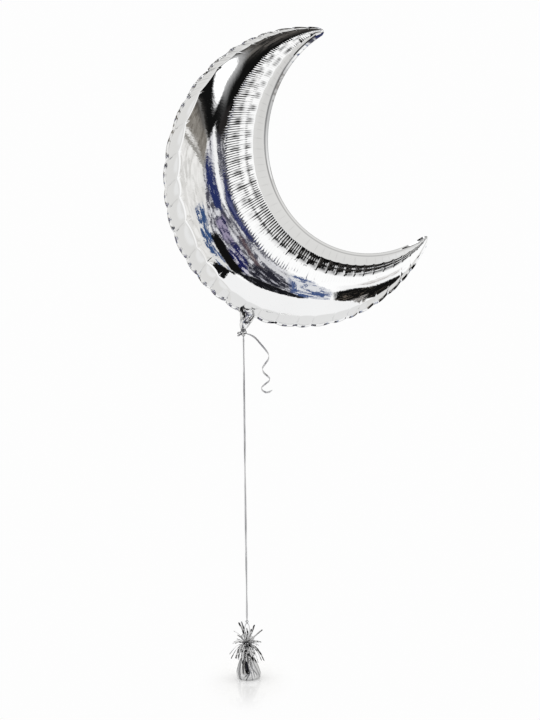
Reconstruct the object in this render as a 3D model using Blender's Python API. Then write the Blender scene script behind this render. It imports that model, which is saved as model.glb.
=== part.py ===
# Crescent moon foil balloon on a ribbon, tied to a tassel topped balloon weight.
# Metres, +Z up, the moon's flat seam lies in the XZ plane and faces -Y.
# The origin is the envelope's centre of lift, which floats right above the tie.

from math import cos, pi, radians, sin, sqrt

import bmesh
import bpy
from mathutils import Vector

MM = 0.001
GAP = 0.3 * MM                  # air between two solids that touch

# Envelope: two foil sheets, welded along their edge
OUTER_CENTRE = (154 * MM, 48 * MM)      # x, z
OUTER_RADIUS = 363 * MM
OUTER_OVAL = 13.4 * MM                  # how far the round outline is squeezed
INNER_CENTRE = (325 * MM, 146 * MM)
INNER_RADIUS = 273.7 * MM
INNER_OVAL = 16.7 * MM
OVAL_TILT = radians(-6.3)
OUTER_SPAN = (radians(81.9), radians(333.0))     # from the upper to the lower tip
INNER_SPAN = (radians(113.1), radians(298.6))
FLANGE_OUTSIDE = 5 * MM
FLANGE_INSIDE = 8 * MM
FLANGE_THICK = 0.8 * MM
WALL = 10 * MM
DEPTH_PER_WIDTH = 0.35          # half of the limb's depth over its width
DOME_POWER = 2.2                # above 2 the limb's back is flatter than an ellipse
LOBES = 27                      # puckers along the outer seam
LOBE_BULGE = 5 * MM
LOBE_STEP = 0.6                 # share of the bulge by which the outline steps in at a crease
FADE_WIDTH = 90 * MM            # a limb narrower than this is puckered less
CREASE_DEPTH = 0.30
CREASE_REACH = 0.13             # how far across the limb a crease runs
NOSE = 0.012                    # share of the limb's length that rounds off each tip
STATIONS_PER_LOBE = 3
ACROSS = 11
HOLLOW_END = 0.13               # share of the limb at each tip that has no hollow

# Tie at the filling neck
TIE = Vector((0, 0, -340.7 * MM))       # centre of the knot
NECK_TOP = Vector((12 * MM, 0, -281 * MM))
NECK_RINGS = (                  # share of the way down, half width, half depth
    (0.00, 21 * MM, 14 * MM),
    (0.25, 18.5 * MM, 12 * MM),
    (0.50, 14 * MM, 9.5 * MM),
    (0.68, 9.5 * MM, 7.5 * MM),
    (0.77, 6.6 * MM, 6.2 * MM),
    (0.85, 5.5 * MM, 5.5 * MM),
    (1.00, 5.5 * MM, 5.5 * MM),
)
NECK_UPRIGHT = 0.80             # from here down the neck stands right over the knot
NECK_PLEATS = 10
NECK_PLEAT_DEPTH = 0.12
NECK_SEAT = (0.45, 0.80)        # shares of the limb between which the neck may lie on it
KNOT_RADIUS = 4.5 * MM
KNOT_END = (1.2 * MM, 13 * MM)          # radius and reach of the knot's cut end
TIE_TURNS = 3
TIE_TURN_RADIUS = 1.1 * MM
TIE_LIFT = 0.6 * MM             # from the knot up to the first turn

# Ribbon
HITCH = Vector((0, 0, -1061.8 * MM))    # centre of the knot on the weight's loop
HITCH_RADIUS = 3.2 * MM
RIBBON_WIDTH = 5 * MM
RIBBON_THICK = 0.6 * MM
TAIL_THICK = 3 * MM
TAIL_ROUTE = (                  # x, y, z of the curled free end, from the knot on
    (5.0, 0.0, -341.2), (10.0, -0.8, -342.4), (18.2, -3.0, -345.4), (28.9, -6.0, -352.2),
    (40.5, -9.5, -365.2), (52.0, -9.5, -379.2), (61.0, -3.5, -391.0), (63.3, 3.5, -399.5),
    (60.5, 9.5, -408.5), (52.0, 11.5, -419.5), (46.0, 4.0, -430.0),
    (50.5, -6.5, -440.5), (60.0, -10.0, -449.0), (65.2, -3.5, -455.8),
    (61.5, 6.0, -462.0), (51.5, 9.5, -469.5), (43.2, 1.5, -477.5),
    (46.0, -7.0, -484.0), (54.5, -9.5, -488.8), (63.5, -6.5, -487.6), (71.0, -2.0, -483.4),
)
TAIL_POINTS = 78

# Weight
FLOOR = -1201.3 * MM
BELL = (                        # height over the floor, radius of the foil wrap
    (0.0, 26.5 * MM), (1.6 * MM, 28.0 * MM), (5.5 * MM, 29.8 * MM),
    (11 * MM, 30.8 * MM), (17 * MM, 30.2 * MM), (24 * MM, 28.3 * MM),
    (32 * MM, 25.4 * MM), (40 * MM, 22.4 * MM), (47 * MM, 19.2 * MM),
    (52 * MM, 16.0 * MM), (56.5 * MM, 12.4 * MM), (60 * MM, 9.8 * MM),
    (62.5 * MM, 8.3 * MM), (67 * MM, 8.2 * MM),
)
BELL_PLEATS = 22
BELL_PLEAT_DEPTH = 0.055
BELL_WALL = 1.6 * MM
BELL_MOUTH = 5.2 * MM
CORE = (3 * MM, 9 * MM, 22.6 * MM)      # foot, height and radius of the heavy block
CORE_SHOULDER = (26 * MM, 15 * MM)      # height and radius where its cone ends
BAND_HEIGHT = 4 * MM
BAND_THICK = 1.2 * MM
BAND_BEVEL = 0.4 * MM
HUB = (7.4 * MM, 5 * MM)                # radius and height of the tassel's bound root
LOOP_WIDTH = 5.2 * MM
LOOP_RADIUS = 0.9 * MM
LOOP_ROOT = 1.15 * MM
STRIP_WIDTH = 4 * MM
STRIP_ROOT = 1.4 * MM
STRIP_THICK = 0.6 * MM
HIGH_STRIPS = {"root": 3.2, "climb": 30, "lean": 5}        # mm
LOW_STRIPS = {"root": 6.3, "climb": 27, "lean": 9}
STRIPS = (                      # ring, azimuth, reach of the tip, its rise over the hub, wave
    (HIGH_STRIPS, 18, 42.8, 44, 3.0), (HIGH_STRIPS, 54, 35.0, 54, 2.0),
    (HIGH_STRIPS, 90, 30.0, 46, 2.4), (HIGH_STRIPS, 126, 36.0, 61, 1.8),
    (HIGH_STRIPS, 162, 36.0, 44, 2.6), (HIGH_STRIPS, 198, 37.0, 21, 2.2),
    (HIGH_STRIPS, 234, 42.0, 44, 1.6), (HIGH_STRIPS, 270, 34.0, 28, 2.8),
    (HIGH_STRIPS, 306, 41.0, 44, 2.2), (HIGH_STRIPS, 342, 31.0, 9, 2.0),
    (LOW_STRIPS, 0, 44.0, -34, 2.4), (LOW_STRIPS, 36, 46.0, 8, 1.8),
    (LOW_STRIPS, 72, 44.0, -10, 2.6), (LOW_STRIPS, 108, 45.0, -28, 2.0),
    (LOW_STRIPS, 144, 47.0, 6, 1.8), (LOW_STRIPS, 180, 46.7, -14, 2.4),
    (LOW_STRIPS, 216, 39.6, -17, 2.2), (LOW_STRIPS, 252, 46.0, -27, 1.6),
    (LOW_STRIPS, 288, 44.0, -22, 2.6), (LOW_STRIPS, 324, 45.7, -12, 2.0),
)

SILVER = (0.78, 0.79, 0.80)
BACK_SILVER = (0.70, 0.71, 0.73)
WHITE_RIBBON = (0.83, 0.83, 0.82)
LEAD_GREY = (0.25, 0.25, 0.27)


def clear_scene():
    for thing in list(bpy.data.objects):
        bpy.data.objects.remove(thing, do_unlink=True)


def material(name, colour, roughness, metallic):
    made = bpy.data.materials.new(name)
    made.use_nodes = True
    shader = made.node_tree.nodes["Principled BSDF"]
    shader.inputs["Base Color"].default_value = (*colour, 1)
    shader.inputs["Roughness"].default_value = roughness
    shader.inputs["Metallic"].default_value = metallic
    return made


def parent_empty(name, place, parent=None):
    # a moving piece hangs on an empty that stands on its joint's axis
    empty = bpy.data.objects.new(name, None)
    bpy.context.collection.objects.link(empty)
    empty.location = place - (parent["at"] if parent else Vector())
    if parent:
        empty.parent = parent["empty"]
    return {"empty": empty, "at": place}


def add_object(name, bm, finish, holder=None, sharp=40):
    # the mesh is drawn in world metres and then moved back by its holder's place
    bmesh.ops.recalc_face_normals(bm, faces=bm.faces)
    if holder:
        bmesh.ops.translate(bm, verts=bm.verts, vec=-holder["at"])
    mesh = bpy.data.meshes.new(name)
    bm.to_mesh(mesh)
    bm.free()
    thing = bpy.data.objects.new(name, mesh)
    bpy.context.collection.objects.link(thing)
    mesh.materials.append(finish)
    mesh.shade_smooth()
    mesh.set_sharp_from_angle(angle=radians(sharp))
    if holder:
        thing.parent = holder["empty"]
    return thing


def loft(bm, rings):
    # skins closed rings of equal length and caps both ends
    rows = [[bm.verts.new(point) for point in ring] for ring in rings]
    for low, high in zip(rows, rows[1:]):
        for i in range(len(low)):
            j = (i + 1) % len(low)
            bm.faces.new((low[i], low[j], high[j], high[i]))
    bm.faces.new(rows[0])
    bm.faces.new(rows[-1])


def use_as_cutter(cutter, target):
    cutter.hide_render = True
    cutter.display_type = "WIRE"
    cut = target.modifiers.new("cut", "BOOLEAN")
    cut.operation = "DIFFERENCE"
    cut.solver = "EXACT"
    cut.object = cutter


def edge_point(centre, radius, oval, angle):
    reach = radius - oval * cos(2 * (angle - OVAL_TILT))
    return Vector((centre[0] + reach * cos(angle), centre[1] + reach * sin(angle)))


def between(span, share):
    return span[0] + (span[1] - span[0]) * share


def lobe_bump(share):
    # 1 in the middle of a pucker, 0 in the sharp crease between two
    inside = (share * LOBES) % 1
    return 4 * inside * (1 - inside)


def limb_edges(share, grow=0.0, lobed=True):
    # the outer and the inner edge of the flange at one station of the limb
    outer = edge_point(OUTER_CENTRE, OUTER_RADIUS, OUTER_OVAL, between(OUTER_SPAN, share))
    inner = edge_point(INNER_CENTRE, INNER_RADIUS, INNER_OVAL, between(INNER_SPAN, share))
    across = (outer - inner).normalized()
    from_tip = min(share, 1 - share)
    nose = sqrt(max(1 - (1 - min(from_tip / NOSE, 1)) ** 2, 0.004))
    middle = (outer + inner) / 2
    outer = middle + (outer - middle) * nose
    inner = middle + (inner - middle) * nose
    if lobed:
        fade = min(1, (outer - inner).length / FADE_WIDTH)
        outer -= across * LOBE_BULGE * LOBE_STEP * (1 - lobe_bump(share)) * fade
    return outer + across * grow, inner - across * grow


def limb_stations(first, last, count):
    return [first + (last - first) * i / count for i in range(count + 1)]


def foil_half(name, side, finish):
    # side is -1 for the front sheet and 1 for the back one
    nose = [0.0, NOSE * 0.25, NOSE * 0.6]
    body = limb_stations(NOSE, 1 - NOSE, LOBES * STATIONS_PER_LOBE)
    stations = nose + body + [1 - share for share in reversed(nose)]
    bm = bmesh.new()
    loft(bm, [limb_ring(share, side) for share in stations])
    return add_object(name, bm, finish, sharp=50)


def limb_ring(share, side, grow=0.0):
    outer, inner = limb_edges(share, grow)
    width = (outer - inner).length
    along = (inner - outer) / width
    flange_out = min(FLANGE_OUTSIDE, width * 0.2)
    flange_in = min(FLANGE_INSIDE, width * 0.2)
    low = GAP / 2
    high = low + FLANGE_THICK + grow
    seam = (outer + along * flange_out, inner - along * flange_in)
    section = [(outer, low), (outer, high), (seam[0], high)]
    for i in range(1, ACROSS):
        turn = pi * i / ACROSS
        share_across = (1 - cos(turn)) / 2
        place = seam[0].lerp(seam[1], share_across)
        section.append((place, high + dome(share, share_across, width)))
    section += [(seam[1], high), (inner, high), (inner, low)]
    return [(place.x, side * depth, place.y) for place, depth in section]


def dome(share, share_across, width):
    round_share = (1 - abs(2 * share_across - 1) ** DOME_POWER) ** (1 / DOME_POWER)
    crease = CREASE_DEPTH * (1 - lobe_bump(share)) ** 2
    near_seam = max(0, 1 - share_across / (2 * CREASE_REACH)) ** 2
    return DEPTH_PER_WIDTH * width * round_share * (1 - crease * near_seam)


def envelope_hollow(name, side):
    # the room for the gas, open at the seam plane
    bm = bmesh.new()
    rings = []
    for share in limb_stations(HOLLOW_END, 1 - HOLLOW_END, 40):
        outer, inner = limb_edges(share, -(WALL + LOBE_BULGE + FLANGE_INSIDE), lobed=False)
        width = (outer - inner).length
        height = DEPTH_PER_WIDTH * (width + 2 * WALL) - WALL
        section = [(outer, -5 * MM)]
        for i in range(0, 8 + 1):
            share_across = (1 - cos(pi * i / 8)) / 2
            level = (1 - abs(2 * share_across - 1) ** DOME_POWER) ** (1 / DOME_POWER)
            section.append((outer.lerp(inner, share_across), height * level))
        section.append((inner, -5 * MM))
        rings.append([(place.x, side * depth, place.y) for place, depth in section])
    loft(bm, rings)
    return add_object(name, bm, material(name, SILVER, 0.5, 0))


def envelope(finish_front, finish_back):
    for name, side, finish in (("foil_front", -1, finish_front), ("foil_back", 1, finish_back)):
        half = foil_half(name, side, finish)
        use_as_cutter(envelope_hollow(name + "_hollow", side), half)


def grown_envelope():
    # both halves as one lens, a gap larger, to seat the neck against the edge
    bm = bmesh.new()
    rings = []
    for share in limb_stations(*NECK_SEAT, 10 * STATIONS_PER_LOBE):
        front = limb_ring(share, -1, grow=GAP)
        back = limb_ring(share, 1, grow=GAP)
        rings.append(front[1:-1] + list(reversed(back[1:-1])))
    loft(bm, rings)
    return add_object("neck_seat_cutter", bm, material("cutter", SILVER, 0.5, 0))


def gathered_ring(centre, half_width, half_depth, pleats, depth, count):
    ring = []
    for i in range(count):
        turn = 2 * pi * i / count
        fold = 1 - depth * (0.5 - 0.5 * cos(pleats * turn))
        ring.append(centre + Vector((half_width * fold * cos(turn), half_depth * fold * sin(turn), 0)))
    return ring


def fill_neck(finish):
    # the filling tail, gathered from the edge of the envelope down to the tie
    foot = TIE + Vector((0, 0, KNOT_RADIUS + GAP))
    bm = bmesh.new()
    rings = []
    for share, half_width, half_depth in NECK_RINGS:
        centre = NECK_TOP.lerp(foot, share)
        lean = sin(min(share / NECK_UPRIGHT, 1) * pi / 2)
        centre.x = NECK_TOP.x + (foot.x - NECK_TOP.x) * lean
        rings.append(gathered_ring(centre, half_width, half_depth, NECK_PLEATS, NECK_PLEAT_DEPTH, 40))
    loft(bm, rings)
    neck = add_object("fill_neck", bm, finish)
    use_as_cutter(grown_envelope(), neck)


def neck_tie(finish):
    # three turns of ribbon round the neck, drawn as one turned ring
    radius_inside = NECK_RINGS[-1][1] + GAP
    profile = [(radius_inside, 0.0)]
    for turn in range(TIE_TURNS):
        for i in range(5):
            angle = -pi / 2 + pi * i / 4
            height = (2 * turn + 1) * TIE_TURN_RADIUS + TIE_TURN_RADIUS * sin(angle)
            profile.append((radius_inside + 0.6 * MM + TIE_TURN_RADIUS * cos(angle), height))
    profile.append((radius_inside, 2 * TIE_TURNS * TIE_TURN_RADIUS))
    base = TIE.z + KNOT_RADIUS + TIE_LIFT
    bm = bmesh.new()
    turned(bm, profile, (TIE.x, TIE.y, base), 28)
    return add_object("neck_tie", bm, finish)


def turned(bm, profile, foot, count):
    # a ring with a hole: the closed profile is turned about the vertical
    rows = []
    for i in range(count):
        turn = 2 * pi * i / count
        rows.append([bm.verts.new((foot[0] + r * cos(turn), foot[1] + r * sin(turn), foot[2] + z))
                     for r, z in profile])
    for i in range(count):
        this, following = rows[i], rows[(i + 1) % count]
        for j in range(len(profile)):
            k = (j + 1) % len(profile)
            bm.faces.new((this[j], following[j], following[k], this[k]))


def knot(holder, finish):
    # the knot under the tie with one short cut end to its left
    bm = bmesh.new()
    bmesh.ops.create_uvsphere(bm, u_segments=20, v_segments=12, radius=KNOT_RADIUS)
    bmesh.ops.translate(bm, verts=bm.verts, vec=TIE)
    body = add_object("ribbon_knot", bm, finish, holder)
    radius, reach = KNOT_END
    bm = bmesh.new()
    bmesh.ops.create_cone(bm, cap_ends=True, segments=10, radius1=radius, radius2=radius * 1.7, depth=reach)
    bmesh.ops.translate(bm, verts=bm.verts, vec=(0, 0, reach / 2))
    turn = Vector((0, 0, 1)).rotation_difference(Vector((-0.93, -0.1, -0.35))).to_matrix()
    bmesh.ops.rotate(bm, verts=bm.verts, cent=(0, 0, 0), matrix=turn)
    bmesh.ops.translate(bm, verts=bm.verts, vec=TIE)
    end = add_object("ribbon_knot_end", bm, finish, holder)
    end.hide_render = True
    end.display_type = "WIRE"
    join = body.modifiers.new("end", "BOOLEAN")
    join.operation = "UNION"
    join.solver = "EXACT"
    join.object = end


def smooth_route(points, count):
    # even points on a Catmull-Rom curve through the route
    dense = []
    for i in range(len(points) - 1):
        before = points[max(i - 1, 0)]
        after = points[min(i + 2, len(points) - 1)]
        a, b = points[i], points[i + 1]
        for step in range(20):
            t = step / 20
            dense.append(0.5 * ((2 * a) + (b - before) * t
                                + (2 * before - 5 * a + 4 * b - after) * t ** 2
                                + (3 * a - before - 3 * b + after) * t ** 3))
    dense.append(points[-1])
    lengths = [0.0]
    for a, b in zip(dense, dense[1:]):
        lengths.append(lengths[-1] + (b - a).length)
    even, at = [], 0
    for i in range(count):
        wanted = lengths[-1] * i / (count - 1)
        while at < len(lengths) - 2 and lengths[at + 1] < wanted:
            at += 1
        share = (wanted - lengths[at]) / (lengths[at + 1] - lengths[at])
        even.append(dense[at].lerp(dense[at + 1], min(share, 1)))
    return even


def tube(name, route, radius, finish, holder, resolution=2):
    curve = bpy.data.curves.new(name, "CURVE")
    curve.dimensions = "3D"
    curve.bevel_depth = radius
    curve.bevel_resolution = resolution
    curve.use_fill_caps = True
    spline = curve.splines.new("POLY")
    spline.points.add(len(route) - 1)
    for point, place in zip(spline.points, route):
        point.co = (*(place - holder["at"]), 1)
    curve.materials.append(finish)
    thing = bpy.data.objects.new(name, curve)
    bpy.context.collection.objects.link(thing)
    thing.parent = holder["empty"]
    return thing


def ribbon_tail(holder, finish):
    points = [Vector(place) * MM for place in TAIL_ROUTE]
    tube("ribbon_tail", smooth_route(points, TAIL_POINTS), TAIL_THICK / 2, finish, holder)


def ribbon_run(holder, finish):
    top = TIE.z - KNOT_RADIUS - GAP
    foot = HITCH.z + HITCH_RADIUS + GAP
    bm = bmesh.new()
    rings = []
    for i in range(13):
        level = top + (foot - top) * i / 12
        rings.append([(TIE.x + x * RIBBON_WIDTH / 2, y * RIBBON_THICK / 2, level)
                      for x, y in ((-1, -1), (1, -1), (1, 1), (-1, 1))])
    loft(bm, rings)
    add_object("ribbon_run", bm, finish, holder)


def hitch_knot(holder, finish):
    bm = bmesh.new()
    bmesh.ops.create_uvsphere(bm, u_segments=16, v_segments=10, radius=HITCH_RADIUS)
    bmesh.ops.translate(bm, verts=bm.verts, vec=HITCH)
    add_object("hitch_knot", bm, finish, holder)


def weight_core(holder, finish):
    # the heavy block inside the wrap: a puck with a cone that the foil lies on
    foot, height, radius = CORE
    top, top_radius = CORE_SHOULDER
    profile = ((radius, foot), (radius, foot + height), (top_radius, foot + top))
    bm = bmesh.new()
    rings = []
    for r, z in profile:
        rings.append([(r * cos(2 * pi * i / 32), r * sin(2 * pi * i / 32), FLOOR + z) for i in range(32)])
    loft(bm, rings)
    add_object("weight_core", bm, finish, holder)


def foil_wrap(holder, finish):
    # a pleated bag of foil: flat foot, belly and gathered mouth, open at the top
    count = BELL_PLEATS * 3
    outside, inside = [], []
    for height, radius in BELL:
        share = height / BELL[-1][0]
        depth = BELL_PLEAT_DEPTH * (0.4 + 1.6 * share)
        if height == 0:
            depth = 0
        outside.append(gathered_ring(Vector((0, 0, FLOOR + height)), radius, radius, BELL_PLEATS, depth, count))
    mouth = gathered_ring(Vector((0, 0, FLOOR + BELL[-1][0])), BELL_MOUTH, BELL_MOUTH, 1, 0, count)
    for height, radius in reversed(BELL[2:]):
        shrunk = max(radius * (1 - 2 * BELL_PLEAT_DEPTH) - BELL_WALL, BELL_MOUTH)
        if height <= CORE[0] + CORE[1]:
            shrunk = CORE[2] + GAP
        inside.append(gathered_ring(Vector((0, 0, FLOOR + height)), shrunk, shrunk, 1, 0, count))
    well = CORE[2] + GAP
    floor_ring = gathered_ring(Vector((0, 0, FLOOR + CORE[0] - GAP)), well, well, 1, 0, count)
    bm = bmesh.new()
    loft(bm, outside + [mouth] + inside[1:] + [floor_ring])
    add_object("foil_wrap", bm, finish, holder, sharp=60)


def gather_band(holder, finish):
    # the band that gathers the wrap's mouth
    height, radius = BELL[-1]
    radius_inside = radius + GAP
    low = FLOOR + height - BAND_HEIGHT
    profile = ((radius_inside, 0), (radius_inside + BAND_THICK, BAND_BEVEL),
               (radius_inside + BAND_THICK, BAND_HEIGHT - BAND_BEVEL), (radius_inside, BAND_HEIGHT))
    bm = bmesh.new()
    turned(bm, profile, (0, 0, low), 32)
    add_object("gather_band", bm, finish, holder)


def hub_top():
    return FLOOR + BELL[-1][0] + GAP + HUB[1]


def tassel_hub(holder, finish):
    # the bound root of the tassel strips, seated on the wrap's mouth
    radius, height = HUB
    foot = FLOOR + BELL[-1][0] + GAP
    bm = bmesh.new()
    rings = []
    for r, z in ((radius * 0.94, 0), (radius, height * 0.3), (radius, height * 0.7), (radius * 0.96, height)):
        rings.append([(r * cos(2 * pi * i / 24), r * sin(2 * pi * i / 24), foot + z) for i in range(24)])
    loft(bm, rings)
    add_object("tassel_hub", bm, finish, holder)


def weight_loop(holder, finish):
    # a teardrop of cord from the hub up to the hitch
    apex = HITCH.z - HITCH_RADIUS - GAP - LOOP_RADIUS
    foot = hub_top() + GAP
    widest = 0.572              # where sin(u) sin(u/2)^3 peaks
    route = []
    for i in range(31):
        turn = 2 * pi * i / 30
        width = LOOP_ROOT * cos(turn / 2) + LOOP_WIDTH / widest * sin(turn) * sin(turn / 2) ** 3
        route.append(Vector((width, 0, foot + (apex - foot) * (1 - cos(turn)) / 2)))
    tube("weight_loop", route, LOOP_RADIUS, finish, holder)


def tassel_strip(name, strip, holder, finish):
    # a crinkled strip of foil that climbs out of the bound root and fans out
    ring, azimuth, reach, rise, wave = strip
    heading = Vector((cos(radians(azimuth)), sin(radians(azimuth)), 0))
    aside = Vector((-heading.y, heading.x, 0))
    base = Vector((0, 0, hub_top() + GAP))
    start = base + heading * ring["root"] * MM
    climb = start + heading * ring["lean"] * MM + Vector((0, 0, ring["climb"] * MM))
    tip = base + heading * reach * MM + Vector((0, 0, rise * MM))
    steps = 10
    route = []
    for i in range(steps + 1):
        t = i / steps
        place = (1 - t) ** 2 * start + 2 * t * (1 - t) * climb + t * t * tip
        place += aside * wave * MM * sin(2.5 * pi * t) * t ** 2
        route.append(place)
    rings = []
    for i, place in enumerate(route):
        ahead = route[min(i + 1, steps)] - route[max(i - 1, 0)]
        side = aside * (STRIP_ROOT + (STRIP_WIDTH - STRIP_ROOT) * min(1, i / 5)) / 2
        normal = ahead.cross(aside).normalized() * STRIP_THICK / 2
        if i == 0:
            normal.z = 0
        rings.append([place - side - normal, place + side - normal, place + side + normal, place - side + normal])
    bm = bmesh.new()
    loft(bm, rings)
    add_object(name, bm, finish, holder)


def build():
    clear_scene()
    front_foil = material("front foil", SILVER, 0.08, 1)
    back_foil = material("back foil", BACK_SILVER, 0.10, 1)
    ribbon_finish = material("curling ribbon", WHITE_RIBBON, 0.35, 0)
    wrap_foil = material("weight foil", SILVER, 0.18, 1)
    core_finish = material("weight block", LEAD_GREY, 0.7, 0)

    envelope(front_foil, back_foil)
    fill_neck(front_foil)
    neck_tie(ribbon_finish)

    knot_at = parent_empty("knot_axis", TIE)
    knot(knot_at, ribbon_finish)
    ribbon_tail(knot_at, ribbon_finish)

    ribbon_at = parent_empty("ribbon_axis", TIE, knot_at)
    ribbon_run(ribbon_at, ribbon_finish)

    hitch_at = parent_empty("hitch_axis", HITCH, ribbon_at)
    hitch_knot(hitch_at, ribbon_finish)

    weight_at = parent_empty("weight_axis", HITCH, hitch_at)
    weight_loop(weight_at, ribbon_finish)
    weight_core(weight_at, core_finish)
    foil_wrap(weight_at, wrap_foil)
    gather_band(weight_at, wrap_foil)
    tassel_hub(weight_at, wrap_foil)
    for number, strip in enumerate(STRIPS, 1):
        tassel_strip("tassel_%02d" % number, strip, weight_at, wrap_foil)


build()
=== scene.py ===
# Crescent moon foil balloon on a ribbon with a foil wrapped, tasselled weight.
# Metres, +Z up. The moon's seam lies in the XZ plane and its front faces -Y.
from math import cos, pi, radians, sin, sqrt

import bmesh
import bpy
import numpy as np
from mathutils import Matrix, Vector, noise


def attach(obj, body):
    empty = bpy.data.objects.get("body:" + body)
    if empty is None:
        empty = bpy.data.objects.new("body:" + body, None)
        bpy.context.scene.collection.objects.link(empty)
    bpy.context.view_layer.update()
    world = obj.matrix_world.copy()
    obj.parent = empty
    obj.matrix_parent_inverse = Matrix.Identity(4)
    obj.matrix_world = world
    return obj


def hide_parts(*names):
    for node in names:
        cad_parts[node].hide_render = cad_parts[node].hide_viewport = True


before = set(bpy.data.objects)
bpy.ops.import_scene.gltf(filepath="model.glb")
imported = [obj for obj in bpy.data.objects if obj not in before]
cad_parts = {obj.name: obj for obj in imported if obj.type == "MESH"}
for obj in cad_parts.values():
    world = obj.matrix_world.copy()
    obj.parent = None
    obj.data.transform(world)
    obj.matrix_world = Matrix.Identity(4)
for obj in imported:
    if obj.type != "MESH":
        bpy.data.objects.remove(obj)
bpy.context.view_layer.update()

mm = 0.001
noiseSeed = 1795828695
noise.seed_set(noiseSeed)       # noise_vector would otherwise take its offsets from the clock
scene = bpy.context.scene
scene.view_settings.view_transform = "Standard"     # keeps the studio's white white


# Small helpers for shader trees and for handing a piece over

def addNode(tree, kind, inputs=None, **settings):
    node = tree.nodes.new("ShaderNode" + kind)
    for key, value in settings.items():
        setattr(node, key, value)
    for key, value in (inputs or {}).items():
        if isinstance(value, bpy.types.NodeSocket):
            tree.links.new(value, node.inputs[key])
        else:
            node.inputs[key].default_value = value
    return node


def calc(tree, operation, *values):
    return addNode(tree, "Math", dict(enumerate(values)), operation=operation).outputs[0]


def calcVector(tree, operation, *values):
    outputs = addNode(tree, "VectorMath", dict(enumerate(values)), operation=operation).outputs
    return outputs["Value" if operation in ("DOT_PRODUCT", "LENGTH") else "Vector"]


def noiseOf(tree, coords, scale, detail=2.0, roughness=0.5, distortion=0.0):
    return addNode(tree, "TexNoise", {"Vector": coords, "Scale": scale, "Detail": detail,
                                      "Roughness": roughness, "Distortion": distortion}).outputs["Fac"]


def remap(tree, value, fromLow, fromHigh, toLow, toHigh, smooth=False):
    node = addNode(tree, "MapRange", {"Value": value, "From Min": fromLow, "From Max": fromHigh,
                                      "To Min": toLow, "To Max": toHigh})
    if smooth:
        node.interpolation_type = "SMOOTHSTEP"
    return node.outputs["Result"]


def mixColours(tree, share, low, high):
    # a colour is a socket, a triple, or one number for a grey
    low, high = (each if isinstance(each, bpy.types.NodeSocket) else rgba(each) for each in (low, high))
    return addNode(tree, "Mix", {0: share, 6: low, 7: high}, data_type="RGBA").outputs[2]


def rgba(colour):
    return (*colour, 1) if isinstance(colour, tuple) else (colour, colour, colour, 1)


def newMaterial(name):
    material = bpy.data.materials.new(name)
    material.use_nodes = True
    return material, material.node_tree, material.node_tree.nodes["Principled BSDF"]


def coat(tree, shader, colour, roughness, height, strength, depth):
    # strength and depth are those of the fine relief that height draws
    bump = addNode(tree, "Bump", {"Height": height, "Strength": strength, "Distance": depth})
    for name, value in {"Base Color": colour, "Roughness": roughness, "Normal": bump.outputs[0]}.items():
        tree.links.new(value, shader.inputs[name])


def foilMaterial(name, look):
    # metallised film: a mirror with faint clouds and painted shade, scuffs (scale, roughness from and to)
    # and a fine crinkle (scale, strength, depth)
    material, tree, shader = newMaterial(name)
    shader.inputs["Metallic"].default_value = 1.0
    coords = addNode(tree, "TexCoord").outputs["Object"]
    clouds = noiseOf(tree, coords, look["clouds"], 3.0, 0.6)
    # painted shade and painted dark reflections: where the fold attribute is set, the colour goes to the
    # fold colour
    fold = addNode(tree, "Attribute", attribute_name="fold").outputs["Fac"]
    colour = mixColours(tree, fold, mixColours(tree, clouds, look["dark"], look["light"]), look["fold"])
    grain, smoothest, roughest = look["scuffs"]
    scuffs = remap(tree, noiseOf(tree, coords, grain, 4.0, 0.65), 0.35, 0.75, smoothest, roughest)
    grain, strength, depth = look["crinkle"]
    coat(tree, shader, colour, scuffs, noiseOf(tree, coords, grain), strength, depth)
    return material


def ribbonMaterial(name, look):
    # drawn ribbon: lengthwise streaking in a glossy silver film; its slow change along the ribbon is painted
    # light and shade
    material, tree, shader = newMaterial(name)
    shader.inputs["Metallic"].default_value = look["metallic"]
    coords = addNode(tree, "TexCoord").outputs["UV"]
    stretched = addNode(tree, "Mapping", {"Vector": coords, "Scale": (look["along"], look["across"], 1)})
    streaksAndPaintedShade = noiseOf(tree, stretched.outputs["Vector"], 1.0, 3.0, 0.6)
    streaksAndPaintedShade = remap(tree, streaksAndPaintedShade, 0.5 - look["reach"], 0.5 + look["reach"], 0, 1)
    coat(tree, shader, mixColours(tree, streaksAndPaintedShade, look["dark"], look["light"]),
         remap(tree, streaksAndPaintedShade, 0.3, 0.7, *look["roughness"]), streaksAndPaintedShade, 0.25, 0.0001)
    return material


def finishPiece(name, bm, material, body, node, sharp=None):
    mesh = bpy.data.meshes.new(name)
    bm.to_mesh(mesh)
    bm.free()
    mesh.materials.append(material)
    mesh.shade_smooth()
    if sharp is not None:
        mesh.set_sharp_from_angle(angle=radians(sharp))
    piece = bpy.data.objects.new(name, mesh)
    scene.collection.objects.link(piece)
    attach(piece, body)
    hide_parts(node)
    return piece


# Camera at the photograph's viewing angle

cameraLook = {
    "place": (0.0657, -2.625, -0.4083),
    "roll": -0.715,             # degrees about its own line of sight
    "lens": 52.5,
}


def addCamera(look):
    camera = bpy.data.objects.new("camera", bpy.data.cameras.new("camera"))
    scene.collection.objects.link(camera)
    camera.data.lens = look["lens"]
    camera.data.sensor_width = 36
    turn = Matrix.Rotation(radians(90), 4, "X") @ Matrix.Rotation(radians(look["roll"]), 4, "Z")
    camera.matrix_world = Matrix.Translation(look["place"]) @ turn
    scene.camera = camera


addCamera(cameraLook)
print("camera set")


# Studio: what the mirror foil sees, as cards on a chart of directions.
# Chart x and z are degrees right and up from the line that looks from the moon to the camera.

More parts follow.
